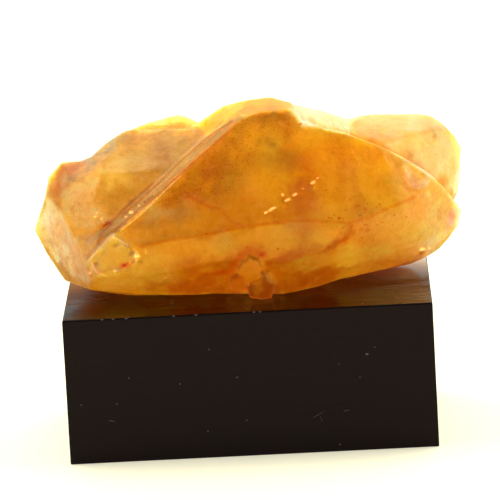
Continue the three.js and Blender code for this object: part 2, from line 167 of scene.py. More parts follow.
# %% [markdown]
# ## The floor
#
# The block stands on white card. The real card is lit so strongly that it is all
# but white, with a trace of cream, and the block's shadow on it is faint. A weak
# glow of its own gives the card that even light. It would also throw cream light
# up under the stone, so soft light passes it by, while mirror rays still see it:
# it is what the front of the block reflects.

# %% Floor
FLOOR_SIDE = 6.0
bpy.ops.mesh.primitive_plane_add(size=FLOOR_SIDE)
floor = bpy.context.object
floor.name = "floor"
paper = bpy.data.materials.new("WhiteCard")
paper.use_nodes = True
card = paper.node_tree.nodes["Principled BSDF"]
card.inputs["Base Color"].default_value = linear("#E6DEB4")
card.inputs["Roughness"].default_value = 0.9
card.inputs["Emission Color"].default_value = linear("#FFFCEA")
card.inputs["Emission Strength"].default_value = 0.42
floor.data.materials.append(paper)
floor.visible_diffuse = False
print("floor:", tuple(round(side, 1) for side in floor.dimensions), "m")

# %% [markdown]
# ## The stone: an even skin over the CAD solid
#
# The stone is a group of calcite crystals, grown together, whose big faces are
# cleavage planes. The CAD solid has all of them, but as a few large triangles,
# which can't carry fine relief or painted stains. A subdivision surface would
# melt the facets. Remeshing a merged copy on a grid of a third of a millimetre
# keeps them and gives small, even faces. Two light smoothing steps take away the
# grid's stair marks, and ease the sharp edges as handling does on soft calcite.

# %% Stone mesh
VOXEL = 0.33 * MM
stone = bpy.data.objects.new("stone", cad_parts["calcite"].data.copy())
scene.collection.objects.link(stone)
mesh = bmesh.new()
mesh.from_mesh(stone.data)
bmesh.ops.remove_doubles(mesh, verts=mesh.verts, dist=0.001 * MM)
mesh.to_mesh(stone.data)
mesh.free()
remesh = stone.modifiers.new("EvenFaces", "REMESH")
remesh.mode = "VOXEL"
remesh.voxel_size = VOXEL
remesh.use_smooth_shade = True
smooth = stone.modifiers.new("Ease", "SMOOTH")
smooth.factor = 0.5
smooth.iterations = 2
even = bpy.data.meshes.new_from_object(stone.evaluated_get(bpy.context.evaluated_depsgraph_get()))
stone.modifiers.clear()
stone.data = even
print("stone faces:", len(even.polygons))

# %% [markdown]
# ## Where each vertex shows in the camera's view
#
# Stains, veils, chips and scratches belong to places on the crystal that are
# easiest to point at from the front. Each vertex gets its place in a square view,
# 500 units wide, as the camera projects it. A mark is then named by its place in
# that view, painted on the vertices behind it, and stays on the stone from every
# side. A soft random sway keeps the larger marks from having ruled edges.

# %% Places in the view
VIEW_SIZE = 500
points = np.empty(len(even.vertices) * 3)
even.vertices.foreach_get("co", points)
points = points.reshape(-1, 3)
normals = np.empty(len(even.vertices) * 3)
even.vertex_normals.foreach_get("vector", normals)
normals = normals.reshape(-1, 3)
edges = np.empty(len(even.edges) * 2, dtype=np.int64)
even.edges.foreach_get("vertices", edges)
edges = edges.reshape(-1, 2)


def spread(values, rounds):
    """Blurs one number per vertex along the edges of the mesh."""
    links = np.bincount(edges.ravel(), minlength=len(values))
    for _ in range(rounds):
        total = np.bincount(edges[:, 0], values[edges[:, 1]], len(values))
        total += np.bincount(edges[:, 1], values[edges[:, 0]], len(values))
        values = 0.5 * values + 0.5 * total / links
    return values


def smoothstep(low, high, values):
    """0 below low, 1 above high, and an even S between them."""
    t = np.clip((values - low) / (high - low), 0, 1)
    return t * t * (3 - 2 * t)


turned = np.array(camera.rotation_quaternion.to_matrix())
local = (points - np.array(camera.location)) @ turned
zoom = camera_data.lens / FILM_WIDTH_MM * VIEW_SIZE / -local[:, 2]
across = VIEW_SIZE / 2 + local[:, 0] * zoom
down = VIEW_SIZE / 2 - local[:, 1] * zoom


# Blender's vector noise is seeded by the clock unless a seed is set.
NOISE_SEED = 1795484795
noise.seed_set(NOISE_SEED)


def wobble(width, reach):
    """A soft random shift for each vertex, its waves that many mm wide, its size about reach."""
    return np.array([noise.noise_vector(p) for p in points / (width * MM)]) * reach


# The sway is in view units: slow waves of 4 mm and quick ones of 1.1 mm.
sway = wobble(4.0, 7.0) + wobble(1.1, 3.0)
wavy_across, wavy_down = across + sway[:, 0], down + sway[:, 1]
patchy = 1 + 0.5 * wobble(2.2, 1.0)[:, 2] + 0.4 * wobble(0.8, 1.0)[:, 2]
print("vertices:", len(points), "in the view from", round(across.min()), "to", round(across.max()))

# %% [markdown]
# ## What the camera sees, and how thin the crystal is
#
# Thin edges of clear calcite are nearly white with light, and thick parts turn deep
# amber. For each vertex, ten rays go into the stone in a fan, and a short way
# through counts most. A vertex that faces the camera sends one more ray there, to
# tell whether it shows or hides behind another crystal. Blurring along the mesh
# then makes both values soft, as light inside the stone is.

# %% Rays through the stone
tree_of_faces = BVHTree.FromPolygons(points.tolist(), [tuple(f.vertices) for f in even.polygons])
facing = normals @ np.array(towards_camera)
shown = np.zeros(len(points))
thin = np.zeros(len(points))
FAN_RAYS = 10
FAN_WIDTH = 0.93  # the sine of the angle at the fan's edge
OFF_THE_SKIN = 0.1  # mm
GLOW_DEPTH = 5.0 * MM
WIDE_BLUR, SLIGHT_BLUR = 60, 4  # rounds
golden = math.pi * (3 - math.sqrt(5))


def fan_ray(k):
    """One of the rays into the stone, spread as evenly as the seeds of a sunflower."""
    out = FAN_WIDTH * math.sqrt((k + 0.5) / FAN_RAYS)
    return Vector((math.cos(golden * k) * out, math.sin(golden * k) * out, -math.sqrt(1 - out * out)))


fan = [fan_ray(k) for k in range(FAN_RAYS)]
for i in range(len(points)):
    place = Vector(points[i])
    normal = Vector(normals[i])
    if facing[i] > 0:
        blocked = tree_of_faces.ray_cast(place + normal * OFF_THE_SKIN * MM, camera.location - place)
        shown[i] = blocked[0] is None
    turn = normal.to_track_quat("Z", "Y")
    for ray in fan:
        length = tree_of_faces.ray_cast(place - normal * OFF_THE_SKIN * MM, turn @ ray)[3]
        thin[i] += math.exp(-length / GLOW_DEPTH) / FAN_RAYS if length else 0
near_shown = spread(shown, WIDE_BLUR)
shown = spread(shown, SLIGHT_BLUR) * smoothstep(0.0, 0.2, facing)
painted_reach = np.maximum(shown, near_shown)
thin = spread(thin, WIDE_BLUR)
print("vertices seen:", int((shown > 0.5).sum()))
print("thinness:", np.percentile(thin, [1, 25, 50, 75, 99]).round(2))

# %% [markdown]
# ## Brushes for the marks
#
# Three brushes are enough for the larger marks: the inside of an outline, an oval
# spot, and a streak along a line. Each gives every vertex a share from 0 to 1.
# An image texture could hold the same marks, but it would need a UV map, and it
# would stretch over the steep faces. Shares on the vertices follow the surface.
# Narrow marks keep to their places, and wider ones follow the sway.

# %% Brushes
STEADY_SPOT, STEADY_STREAK = 12, 4  # narrower ones than this keep to their places
FADED_OUT = 1.4  # where a spot or a streak has faded, as a share of its half width


def segment_distance(start, end, x, y):
    """How far the places (x, y) are from the line between two places, in view units."""
    along = np.array(end, float) - start
    away = np.stack([x - start[0], y - start[1]], axis=1)
    t = np.clip(away @ along / (along @ along), 0, 1)
    return np.linalg.norm(away - t[:, None] * along, axis=1)


def inside(corners, soft, sharp=False, grow=0):
    """1 inside the outline, 0 outside, changing over soft units each way. It can be grown outwards."""
    x, y = (across, down) if sharp else (wavy_across, wavy_down)
    reach = np.full(len(points), 1e9)
    odd = np.zeros(len(points), dtype=bool)
    for (x0, y0), (x1, y1) in zip(corners, corners[1:] + corners[:1]):
        reach = np.minimum(reach, segment_distance((x0, y0), (x1, y1), x, y))
        crosses = (y0 > y) != (y1 > y)
        odd ^= crosses & (x < (x1 - x0) * (y - y0) / ((y1 - y0) or 1e-9) + x0)
    return smoothstep(-soft, soft, np.where(odd, reach, -reach) + grow)


def spot(centre, width, height):
    """1 at the middle of an oval, falling to 0 a little past its edge."""
    x, y = (across, down) if width < STEADY_SPOT else (wavy_across, wavy_down)
    reach = np.hypot((x - centre[0]) / (width / 2), (y - centre[1]) / (height / 2))
    return 1 - smoothstep(0.0, FADED_OUT, reach)


def streak(corners, width):
    """1 along a line through these places, falling to 0 a little past half its width."""
    x, y = (across, down) if width < STEADY_STREAK else (wavy_across, wavy_down)
    away = np.min([segment_distance(p, q, x, y) for p, q in zip(corners, corners[1:])], axis=0)
    return 1 - smoothstep(0.0, FADED_OUT, away / (width / 2))


# %% [markdown]
# ## Two faces with lines of their own
#
# The flank left of the main face is striated: hundreds of fine parallel lines,
# where the crystal cleaved in tiny steps. The top of the right crystal is ribbed
# by its growth, and that whole crystal is calm, with fainter clouds than the rest.
# The three shares are kept, because the relief and the material need them.

# %% Striated and ribbed faces
FLANK = [
    (240, 119), (222, 122), (205, 135), (190, 150), (170, 167), (150, 188), (130, 203),
    (104, 227), (96, 244), (113, 233), (130, 219), (150, 206), (180, 175), (210, 149)]
GROWTH_FACET = [
    (345, 110), (360, 138), (385, 141), (400, 137), (415, 131), (440, 127), (430, 112), (400, 108)]
CALM_CRYSTAL = [
    (345, 108), (400, 106), (432, 110), (466, 148), (465, 206), (440, 184), (410, 160), (385, 150),
    (352, 136)]
striated = inside(FLANK, 2, sharp=True) * shown
ribbed = inside(GROWTH_FACET, 4, sharp=True) * shown
calm = inside(CALM_CRYSTAL, 5, sharp=True) * shown
print("striated, ribbed and calm vertices:",
      [int((share > 0.5).sum()) for share in (striated, ribbed, calm)])

# %% [markdown]
# ## The body colour
#
# Honey calcite owes its colour to traces of iron. The tint starts from pale honey
# where the stone is thin and from amber where it is thick. The pale honey is painted
# light: the glow of the backdrop through the thin parts. A second value, the
# milkiness, tells how cloudy the crystal is: a milky part scatters light under its
# skin, and a clear part lets it through. Hidden sides get half of the thin honey.

# %% Body colour
THIN_GLOW_HONEY, THICK_AMBER = "#FFF2AC", "#F8BE55"
THIN_MILK, THICK_MILK = 0.95, 0.2
tint = np.tile(linear(THICK_AMBER)[:3], (len(points), 1))
milk = np.full(len(points), THICK_MILK)


def cover(share, colour=None, cloud=None):
    """Draws the tint and the milkiness towards a colour and a value by that share."""
    if colour:
        tint[:] += (np.array(linear(colour)[:3]) - tint) * share[:, None]
    if cloud is not None:
        milk[:] += (cloud - milk) * share


def paint(where, colour, cloud, strength=1.0):
    """The same, in uneven patches, and only where the camera sees the stone."""
    cover(np.clip(where * painted_reach * strength * patchy, 0, 1), colour, cloud)


# painted light: thin parts turn pale honey, as the backdrop shines through them
thin_glow_share = smoothstep(0.1, 0.4, thin) * (0.5 + 0.5 * shown)
cover(thin_glow_share, THIN_GLOW_HONEY, THIN_MILK)
print("mean milkiness:", round(float(milk.mean()), 2))

# %% [markdown]
# ## The faces of the crystals
#
# Every crystal face has its own colour and cloudiness, because each crystal took up
# its own share of iron, clay and tiny bubbles as it grew. A few colours are painted
# light instead: the thin rim at the right and the thin tip at the left, where light
# from behind shines through, and a glow and a mauve sheen on the left slope. The
# faces are outlined one by one, roughly, and their edges are soft, as they are
# inside the stone. They are painted in this order, and a later one lies over an
# earlier one.

# %% Faces
# name: (corners in the view, softness, colour, milkiness)
FACES = {
    "growth facet at the back right": (GROWTH_FACET, 5, "#FCD296", 0.6),
    "front of the right crystal": ([(385, 142), (415, 133), (440, 129), (462, 150), (458, 190),
        (440, 180), (412, 160), (390, 148)], 5, "#FFF0C0", 0.5),
    # painted light: the thin rim glows with the light from behind
    "right rim of the right crystal": ([(448, 132), (466, 150), (464, 200), (448, 192),
        (452, 160)], 5, "#FEEAA8", 0.8),
    "left slope": ([(110, 140), (135, 130), (200, 135), (185, 150), (150, 186), (104, 224),
        (100, 180)], 5, "#DAB560", 0.35),
    "left slope under the yellow crystal": ([(110, 142), (135, 130), (200, 133), (190, 146), (170, 170),
        (100, 171)], 7, "#D0B35E", 0.35),
    # painted reflection: the mauve sheen of the backdrop on the sloping face
    "painted mauve sheen on the left slope": ([(148, 150), (160, 137), (200, 135), (175, 160), (150, 180),
        (138, 165)], 12, "#BE9762", 0.5),
    # painted light: a bright glow on the left slope
    "honey glow on the left slope": ([(104, 172), (125, 165), (128, 185), (106, 190)], 12, "#E8D48C", 0.2),
    "dark left slope": ([(102, 190), (128, 188), (150, 172), (150, 186), (130, 203),
        (104, 222)], 8, "#C49149", 0.1),
    "flank": (FLANK, 3, "#B49462", 0.35),
    "grey strip": ([(60, 185), (75, 165), (100, 148), (125, 132), (112, 150), (90, 165),
        (75, 180)], 7, "#A8A493", 0.6),
    "left shoulder": ([(62, 190), (75, 178), (98, 175), (98, 220), (80, 225),
        (66, 212)], 9, "#F0E2B6", 0.4),
    "rust corner": ([(48, 172), (60, 162), (85, 160), (72, 172), (58, 190), (48, 196)], 7, "#C48E66", 0.5),
    # painted light: the thin tip glows with the light from behind
    "pale tip": ([(36, 230), (46, 200), (62, 213), (78, 240), (90, 280), (70, 278),
        (50, 252)], 3, "#FFF0C0", 0.6),
    "mauve corner": ([(70, 236), (92, 236), (90, 262), (92, 280), (76, 272)], 8, "#F4C17F", 0.5),
    "dusty face": ([(243, 116), (250, 150), (243, 178), (228, 196), (196, 200), (150, 206), (180, 175),
        (210, 149)], 12, "#C08A14", 0.25),
    "dark crest": ([(238, 118), (262, 109), (285, 112), (300, 124), (285, 136), (255, 136),
        (240, 140)], 8, "#B28630", 0.3),
    "warm face": ([(250, 126), (300, 126), (345, 137), (385, 152), (402, 170), (402, 203), (350, 215),
        (290, 214), (245, 180)], 12, "#F4BD2D", 0.15),
    "low face": ([(200, 205), (240, 190), (290, 214), (258, 224), (200, 234), (150, 238),
        (190, 222)], 10, "#E19213", 0.15),
    "smoky patch": ([(146, 210), (186, 204), (196, 216), (180, 226), (130, 230)], 10, "#CF9C5C", 0.4),
    "lower face": ([(138, 248), (200, 238), (262, 228), (320, 224), (352, 226), (400, 208), (436, 192),
        (446, 215), (430, 245), (400, 258), (345, 262), (300, 260), (250, 258), (200, 262),
        (140, 270)], 4, "#FFC376", 0.05),
    "amber foot": ([(155, 272), (172, 264), (205, 257), (240, 261), (300, 268), (345, 266), (330, 282),
        (290, 296), (240, 296), (190, 294), (148, 291)], 8, "#DA7836", 0.1),
    "right end": ([(424, 190), (450, 200), (460, 215), (448, 236), (432, 250), (420, 245),
        (428, 215)], 10, "#FFEC9F", 0.45),
    "band on the right tip": ([(452, 206), (464, 206), (462, 224), (446, 236),
        (450, 220)], 3, "#F6CAC6", 0.8),
    "pale scallop": ([(402, 157), (410, 160), (425, 169), (434, 175), (428, 186), (418, 191),
        (408, 182)], 3, "#F7DACE", 0.6),
    "pale wedge": ([(292, 262), (305, 255), (322, 249), (382, 244), (400, 250), (350, 264),
        (310, 268)], 4, "#FFECA4", 0.05),
}
for name, (corners, soft, colour, cloud) in FACES.items():
    paint(inside(corners, soft), colour, cloud)
print("faces painted:", len(FACES))

# %% [markdown]
# ## The glowing rims
#
# Behind the crest, thin crystals catch the light from the back and glow yellow.
# Their colour is painted through the crystal, so it also shows, weaker and blurred,
# on their far side.

# %% Rims
RIM_STRENGTH, RIM_STRENGTH_BEHIND, RIM_MILK = 0.9, 0.6, 0.9
BLUR_BEHIND = 80

# name: (corners, softness, colour)
RIMS = {
    "yellow crystal behind the left slope": ([(136, 134), (150, 118), (175, 104), (200, 108),
        (202, 128), (165, 131)], 3, "#FCE898"),
    "yellow rim behind the crest": ([(198, 130), (206, 106), (235, 92), (262, 88), (264, 108),
        (246, 113), (232, 120), (210, 134)], 3, "#F6C62C"),
    "orange cap on the crest": ([(240, 92), (262, 86), (286, 92), (293, 105), (284, 113),
        (240, 115)], 3, "#F69C00"),
    "pale slab": ([(291, 90), (330, 100), (352, 112), (356, 136), (340, 134), (302, 124),
        (290, 108)], 3, "#FEF0C0"),
}
for name, (corners, soft, colour) in RIMS.items():
    rim = inside(corners, soft)
    behind = RIM_STRENGTH_BEHIND * spread(rim, BLUR_BEHIND)
    cover(RIM_STRENGTH * (rim * shown + behind * (1 - shown)), colour, RIM_MILK)
print("rims painted:", len(RIMS))

# %% [markdown]
# ## Rust veils, stains and clouds
#
# Water carried iron into the cracks, and it dried there as orange and brown veils.
# Whitish clouds are sheets of tiny bubbles. The veils run along lines, so they are
# streaks, and the stains and clouds are ovals. A few of the streaks and ovals are
# painted light and painted shade instead, and each is noted where it stands.

# %% Streaks
# name: (places along it, width, colour, milkiness, strength)
STREAKS = {
    "rust veil left of the small crystals": ([(175, 287), (205, 279), (228, 269), (246, 256),
        (262, 250)], 22, "#D83406", 0.1, 0.6),
    "core of the rust veil": ([(205, 280), (228, 269), (246, 256), (262, 251)], 8, "#D43808", 0.1, 0.6),
    "rust veil right of the small crystals": ([(262, 266), (282, 262), (305, 253), (330, 243),
        (348, 234)], 12, "#C43A04", 0.1, 0.65),
    "rust under the pale wedge": ([(270, 292), (290, 279), (320, 273),
        (345, 269)], 16, "#B0480C", 0.1, 0.5),
    "orange line above the crease": ([(232, 230), (262, 222), (290, 217),
        (315, 219)], 9, "#FAB21A", 0.1, 0.5),
    "dark dusty edge at the right": ([(370, 142), (386, 150), (400, 163),
        (410, 158)], 10, "#BC8A2A", 0.4, 0.6),
    "brown foot": ([(150, 286), (185, 284), (215, 286), (236, 288)], 24, "#B8480E", 0.05, 1.1),
    "brown foot right of the small crystals": ([(284, 290), (300, 282),
        (330, 276)], 16, "#B04410", 0.05, 0.7),
    "orange line under the yellow crystal": ([(138, 131), (165, 129), (198, 128)], 6, "#E8BE3C", 0.5, 0.8),
    "dusty edge of the main face": ([(344, 135), (363, 141), (380, 148), (396, 157),
        (406, 164)], 3.9, "#C89C40", 0.3, 0.8),
    "pink edge of the main face": ([(406, 164), (428, 178), (439, 188),
        (450, 200)], 3.9, "#F2BE96", 0.5, 0.8),
    "rust band over the pale wedge": ([(268, 262), (290, 252), (318, 244),
        (345, 238)], 9, "#C84004", 0.1, 0.7),
    # painted shade: a darker band right of the crease
    "painted shade right of the crease": ([(100, 178), (99, 200), (100, 222)], 8, "#D7A252", 0.1, 0.5),
}
for name, (places, width, colour, cloud, strength) in STREAKS.items():
    paint(streak(places, width), colour, cloud, strength)
print("streaks painted:", len(STREAKS))

# %% Spots
# name: (middle, width, height, colour, milkiness, strength)
SPOTS = {
    "red stain under the crest": ((285, 130), 26, 20, "#B25A04", 0.2, 0.7),
    "orange stain in the middle": ((312, 165), 34, 38, "#F8B404", 0.05, 0.7),
    # painted light: the two glows below
    "orange glow under the edge": ((350, 146), 40, 20, "#FFCC1C", 0.2, 0.7),
    "honey glow under the crest": ((268, 152), 40, 44, "#FFE650", 0.05, 0.8),
    "whitish cloud on the lower face": ((300, 236), 60, 30, "#FFFFE0", 0.0, 1.0),
    "whitish cloud left": ((225, 244), 30, 24, "#FBE8E8", 0.0, 0.9),
    "whitish cloud low": ((160, 214), 30, 20, "#E5DEB9", 0.3, 0.6),
    "clear yellow left end of the lower face": ((134, 266), 88, 46, "#FDE8EC", 0.0, 0.85),
    "clear right end of the lower face": ((418, 232), 50, 34, "#FFF888", 0.05, 0.6),
    "dark honey patch under the crest": ((268, 140), 34, 26, "#BC8A34", 0.15, 0.8),
    "light patch over the stain": ((205, 186), 36, 22, "#F2D214", 0.25, 0.8),
    "pale patch left of the speckled field": ((320, 208), 36, 24, "#FFD07C", 0.05, 0.7),
    "hazy patch under the scallop": ((392, 184), 34, 34, "#D8AC44", 0.2, 0.8),
    "pale foot at the left": ((108, 280), 30, 18, "#FFF0F0", 0.0, 0.8),
    # painted light: a glow over the chips
    "light glow over the chips": ((300, 178), 30, 20, "#FFE50A", 0.0, 0.8),
    "ring of the rust spot": ((99, 221), 16, 12, "#FFFFDC", 0.5, 0.7),
    "light honey left of the middle": ((240, 160), 26, 28, "#F6BC2C", 0.0, 0.8),
    "cream top of the right crystal": ((430, 122), 40, 20, "#F4C898", 0.6, 0.7),
    # painted reflection: a pale sheen on the left slope
    "painted pale sheen on the left slope": ((142, 168), 26, 26, "#D8BC8C", 0.4, 0.7),
    "mauve shade at the left tip": ((61, 230), 22, 24, "#F6CC88", 0.5, 0.7),
    # painted light: the thin edge of the left tip glows cream
    "cream edge of the left tip": ((48, 219), 14, 30, "#FFFFFF", 0.7, 0.7),
    "violet trace": ((65, 179), 8, 16, "#DEE4C4", 0.6, 0.6),
}
for name, (centre, width, height, colour, cloud, strength) in SPOTS.items():
    paint(spot(centre, width, height), colour, cloud, strength)
print("spots painted:", len(SPOTS))

# %% [markdown]
# ## The small crystals
#
# A chipped knob at the left and three crystals, no larger than a lentil, sit on
# the front of the stone. They are clearer than the rest and have crisp outlines.
# The camera meets their steep walls at a low angle, where a smooth skin mirrors the
# dim front of the studio and would draw a dark outline. Real walls are full of
# light that goes to and fro inside, which a ray tracer finds only with very many
# samples. So the walls are noted here, and get a matt skin, a lighter tint and a
# weak glow: painted light in place of that inner light.

# %% Small crystals
# name: (corners, colour)
SMALL_CRYSTALS = {
    "chipped knob": ([(86, 262), (97, 248), (113, 233), (130, 245), (142, 257), (136, 266), (120, 275),
        (93, 278)], "#FFFFF0"),
    "yellow six-sided crystal": ([(238, 262), (250, 254), (264, 259), (266, 274), (254, 286),
        (240, 277)], "#F09A2C"),
    "dark pink crystal": ([(250, 283), (266, 275), (280, 287), (280, 300), (248, 300)], "#A84826"),
    "pale wedge above the pink crystal": ([(264, 271), (272, 273), (276, 284), (268, 281)], "#E8B488"),
    "pale facet of the pink crystal": ([(251, 284), (261, 280), (264, 290), (257, 296),
        (250, 292)], "#CC8058"),
    "dark left crystal": ([(228, 276), (242, 275), (248, 290), (230, 290)], "#D4642C"),
}
WALL_WIDTH, PAINTED_WALL_LIGHT = 4, "#FFC880"
FRONT_HALF = -5 * MM  # nothing behind this depth belongs to a small crystal
in_front = points[:, 1] < FRONT_HALF
seen = shown.copy()
walls = np.zeros(len(points))
for name, (corners, colour) in SMALL_CRYSTALS.items():
    around = inside(corners, 2, sharp=True, grow=WALL_WIDTH) * in_front
    seen = np.maximum(seen, around)
    walls = np.maximum(walls, around * np.sqrt(1 - shown))
    # painted light: the hidden walls get a lighter tint
    cover(around * (1 - shown), PAINTED_WALL_LIGHT)
    cover(around, cloud=0.0)
for name, (corners, colour) in SMALL_CRYSTALS.items():
    cover(inside(corners, 1.5, sharp=True) * in_front, colour, 0.0)
print("wall vertices:", int((walls > 0.5).sum()))

# %% [markdown]
# ## The sides that the camera doesn't see
#
# The back and the underside have no marks of their own to follow. They get the same
# honey body, with drifting patches of rust made by soft noise, and a browner
# underside: painted shade on the faces that look down, low on the stone.

# %% Hidden sides
UNDERSIDE_SHADE_BROWN, UNDERSIDE_SHADE_MILK, RUST_ORANGE, RUST_STRENGTH = "#C85A10", 0.1, "#F08C34", 0.6
UNDERSIDE_SHADE_FROM, UNDERSIDE_SHADE_FULL = 34.0, 26.0  # heights in mm
facing_down = smoothstep(0.0, 0.5, -normals[:, 2])
# painted shade: faces that look down, low on the stone, turn browner
shaded_underside = facing_down * smoothstep(UNDERSIDE_SHADE_FROM, UNDERSIDE_SHADE_FULL, points[:, 2] / MM)
cover(shaded_underside * (1 - shown), UNDERSIDE_SHADE_BROWN, UNDERSIDE_SHADE_MILK)
hidden = 1 - painted_reach
drift = wobble(6.0, 1.0)[:, 0] + 0.4 * wobble(1.8, 1.0)[:, 0]
cover(hidden * smoothstep(0.05, 0.5, drift) * RUST_STRENGTH, RUST_ORANGE)
print("hidden vertices:", int((hidden > 0.5).sum()))

# %% [markdown]
# ## Chips, scratches, specks and creases
#
# These marks are about as fine as the faces of the mesh, too fine for the brushes
# above. Each is kept as a small cone or ridge of values around its place. Between
# the vertices the values run evenly, and the material cuts them off near one
# height, which gives a crisp edge.

# %% Fine brushes
FINE_REACH = 4.0  # view units
SPOT_SHAPE = (0.8, 1.2)  # a spot is a little wider than high


def fine_spots(places, size):
    """A cone over each place: 1 at its middle, 0 at the fine reach, wider for a larger size."""
    cone = np.zeros(len(points))
    for x, y in places:
        away = np.hypot((across - x) * SPOT_SHAPE[0], (down - y) * SPOT_SHAPE[1])
        cone = np.maximum(cone, 1 - away / (FINE_REACH * size))
    return cone * seen


def fine_lines(corners, size):
    """The same as a ridge along a line through these places."""
    away = np.min([segment_distance(p, q, across, down) for p, q in zip(corners, corners[1:])], axis=0)
    return np.clip(1 - away / (FINE_REACH * size), 0, 1) * seen


# %% Bright chips and lines
# These bright marks are chips and scratches, raised a little in the relief, and painted highlights: the
# material makes them glow as their sparkle. The faint lines on the flank are painted highlights along its
# striae.
LARGE_CHIPS = [(131, 212.5)]
BRIGHT_PATCHES = [(422, 249), (137, 256)]
SMALL_CHIPS = [
    (302.5, 189), (139, 206), (126, 217), (97, 213), (101, 219), (95, 217), (90, 273), (114, 238),
    (429, 248), (318, 178)]
CHIP_DASHES = [
    [(311.5, 183.5), (315, 181.5)], [(282, 194.5), (283, 195.5)], [(293, 195.5), (296, 194)],
    [(285.5, 201), (289, 199.5)], [(265, 213), (267, 212)], [(269.5, 210.5), (272, 209), (275, 207.5)]]
BRIGHT_LINES = [
    [(181, 176), (165, 191), (150, 206), (135, 219), (120, 231)],
    [(132, 249), (138, 252), (138, 259), (135, 264)],
    [(88, 262), (94, 255), (101, 248)], [(112, 236), (118, 240), (128, 245)],
    [(111, 274), (117, 270)], [(97, 272), (105, 275)], [(145, 248), (146, 254)]]
FAINT_LINES = [
    [(380, 153), (386, 160), (391, 168)], [(352, 152), (358, 160), (360, 168)],
    [(163, 264), (171, 276), (181, 291)], [(176, 268), (160, 282)],
    [(96, 276), (108, 276), (118, 270), (128, 266)],
    [(239, 266), (243, 259), (251, 256), (262, 260), (264, 268)],
    [(94, 190), (98, 205), (103, 217)], [(90, 200), (93, 214)], [(200, 262), (212, 250), (222, 244)],
    [(404, 177), (410, 186), (418, 190), (427, 184), (433, 176)],
    [(415, 192), (415, 202)], [(421, 192), (422, 203)], [(427, 190), (428, 200)],
    # on the flank
    [(236, 122), (215, 134), (192, 153), (166, 180), (141, 203)],
    [(228, 121), (200, 141), (176, 164), (150, 190)], [(214, 143), (190, 164), (160, 192)],
    [(158, 197), (128, 222), (108, 240)]]
print("bright marks:", sum(len(marks) for marks in (
    LARGE_CHIPS, BRIGHT_PATCHES, SMALL_CHIPS, CHIP_DASHES, BRIGHT_LINES, FAINT_LINES)))

# %% Dark specks, rust spots and creases
DARK_SPECKS = [
    (334, 215), (346, 210), (360, 215), (367, 203.5), (380, 204), (383, 222.3), (406.5, 217.5),
    (340.5, 233), (343, 228), (355, 232), (352.5, 234.5), (362, 237.5), (364.5, 225), (394.5, 215),
    (372.5, 241), (364, 213), (134, 209), (145, 202), (149, 199), (152, 197), (137, 206), (326, 190),
    # grains among the dust of the main face
    (226, 146), (214, 157), (205, 160), (198, 174), (184, 184), (177, 199), (229, 165), (222, 178),
    (190, 178), (236, 148), (301, 213), (274, 216), (278, 188), (206, 234), (229, 245), (262, 247)]
RED_SPECKS = [
    (365, 209), (368, 230), (361, 229), (331, 218), (350, 200), (339.5, 218), (358, 206), (352, 226),
    (346, 243), (329, 247), (278, 249), (262, 247), (300, 124), (288, 124), (247, 247), (304, 264)]
RUST_SPOTS = [(105, 226), (108, 224), (262, 255), (124.5, 265)]
# painted shade: the creases, and the striae of the flank, are darker lines
SHADED_CREASES = [
    [(139, 247), (170, 240), (200, 236), (232, 229), (258, 225), (290, 221), (320, 221), (350, 223)],
    [(188, 196), (205, 205), (222, 210), (230, 221), (243, 226)],
    [(350, 223), (372, 216), (392, 207), (415, 197)], [(88, 268), (91, 276)],
    # on the flank
    [(232, 122), (208, 138), (184, 158), (150, 192), (122, 216)],
    [(238, 124), (212, 146), (182, 173), (152, 200), (112, 232)],
    [(152, 184), (128, 206), (104, 230), (98, 243)]]
print("dark marks:", sum(len(marks) for marks in (DARK_SPECKS, RED_SPECKS, RUST_SPOTS, SHADED_CREASES)))

# %% Fine marks put together
# (places, size of each)
BRIGHT_SPOTS = [(LARGE_CHIPS, 1.35), (SMALL_CHIPS, 0.8), (BRIGHT_PATCHES, 1.6)]
# (lines, size of each, strength)
BRIGHT_STROKES = [(CHIP_DASHES, 0.85, 1.0), (BRIGHT_LINES, 0.9, 0.7), (FAINT_LINES, 0.9, 0.6)]
bright = np.maximum.reduce([fine_spots(places, size) for places, size in BRIGHT_SPOTS])
for strokes, size, strength in BRIGHT_STROKES:
    for stroke in strokes:
        bright = np.maximum(bright, strength * fine_lines(stroke, size))
dark = np.maximum(fine_spots(DARK_SPECKS, 0.75), fine_spots(RUST_SPOTS, 1.4))
crease_shade = np.maximum.reduce([fine_lines(crease, 1.0) for crease in SHADED_CREASES])
rusty = np.maximum(fine_spots(RED_SPECKS, 0.9), fine_spots(RUST_SPOTS, 2.2))
print("bright, dark, creased and rusty vertices:",
      [int((mark > 0.5).sum()) for mark in (bright, dark, crease_shade, rusty)])

# %% [markdown]
# ## Dusty and speckled fields
#
# Fine dark dust sits on the upper left of the main face, and orange grains are
# scattered over its right end. Both are hundreds of dots, so only the fields are
# outlined here, and the material scatters the dots. The hidden sides get some of
# each. Every share then becomes a named layer of the mesh, for the nodes to read.

